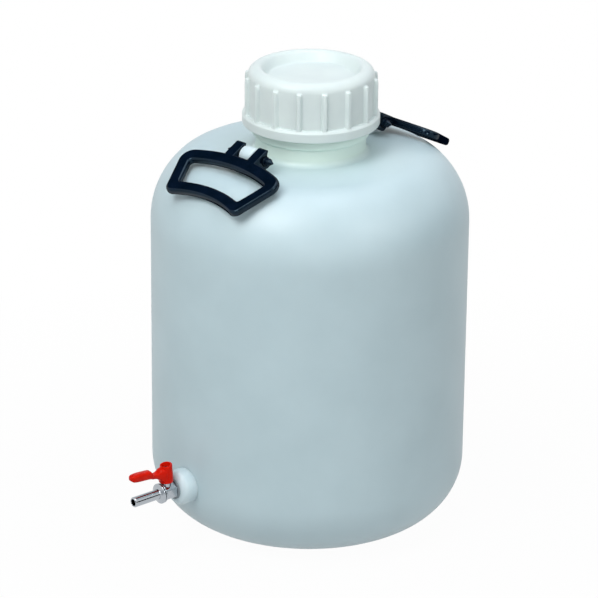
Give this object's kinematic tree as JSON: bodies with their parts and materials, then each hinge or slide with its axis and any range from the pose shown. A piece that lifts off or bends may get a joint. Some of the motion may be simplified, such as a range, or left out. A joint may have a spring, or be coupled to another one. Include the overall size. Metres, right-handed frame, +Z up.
{
  "type": "carboy with spigot",
  "caption": "Translucent round carboy with a wide ribbed screw cap, two hinged black carrying handles and a lever ball-valve spigot with a hose nipple at the base.",
  "frame": {"origin": "centre of the standing ring under the base, on the bottle's axis", "axes": "+Z up along the bottle's axis; the two handles lie on the Y axis; the spigot points to -Y, turned a few degrees towards -X"},
  "size_m": [0.29, 0.3533, 0.4313],
  "materials": {
    "bottle_plastic": "translucent, natural blown polyethylene",
    "cap_plastic": "natural moulded polypropylene",
    "black_plastic": "moulded, semi-gloss",
    "plated_brass": "bright nickel plating",
    "bare_brass": "turned",
    "stainless": "turned",
    "red_enamel": "dipped coating",
    "seal_rubber": "moulded",
    "foam_gasket": "foamed polyethylene",
    "seat_plastic": "turned fluoropolymer"
  },
  "bodies": {
    "bottle": {"bottle_body": "bottle_plastic", "front_hinge_pin": "black_plastic", "rear_hinge_pin": "black_plastic", "boss_seal": "seal_rubber", "valve_body": "plated_brass", "inlet_seat": "seat_plastic", "outlet_seat": "seat_plastic", "stem_washer": "seat_plastic", "stem_seal": "seal_rubber", "gland_nut": "bare_brass", "nipple_seal": "seal_rubber", "hose_nipple": "plated_brass"},
    "cap_lift": {"cap_gasket": "foam_gasket"},
    "cap": {"screw_cap": "cap_plastic"},
    "handle_front": {"front_handle": "black_plastic"},
    "handle_rear": {"rear_handle": "black_plastic"},
    "tap": {"valve_ball": "plated_brass", "valve_stem": "stainless", "lever": "red_enamel", "lever_screw": "stainless"}
  },
  "joints": [
    {"name": "cap_rise", "type": "slide", "parent": "bottle", "child": "cap_lift", "axis": [0, 0, 1], "range_m": [0, 0.0495]},
    {"name": "cap_turn", "type": "hinge", "parent": "cap_lift", "child": "cap", "pos_m": [0, 0, 0.42635], "axis": [0, 0, 1], "range_deg": [0, 2970]},
    {"name": "front_handle_swing", "type": "hinge", "parent": "bottle", "child": "handle_front", "pos_m": [0, -0.0762, 0.36397], "axis": [-1, 0, 0], "range_deg": [0, 118]},
    {"name": "rear_handle_swing", "type": "hinge", "parent": "bottle", "child": "handle_rear", "pos_m": [0, 0.0762, 0.36397], "axis": [1, 0, 0], "range_deg": [0, 118]},
    {"name": "tap_turn", "type": "hinge", "parent": "bottle", "child": "tap", "pos_m": [-0.01465, -0.16746, 0.0606], "axis": [0, 0, -1], "range_deg": [0, 90]}
  ],
  "couplings": [
    {"joint": "cap_rise", "follows": "cap_turn", "m_per_rad": 0.00095493}
  ]
}
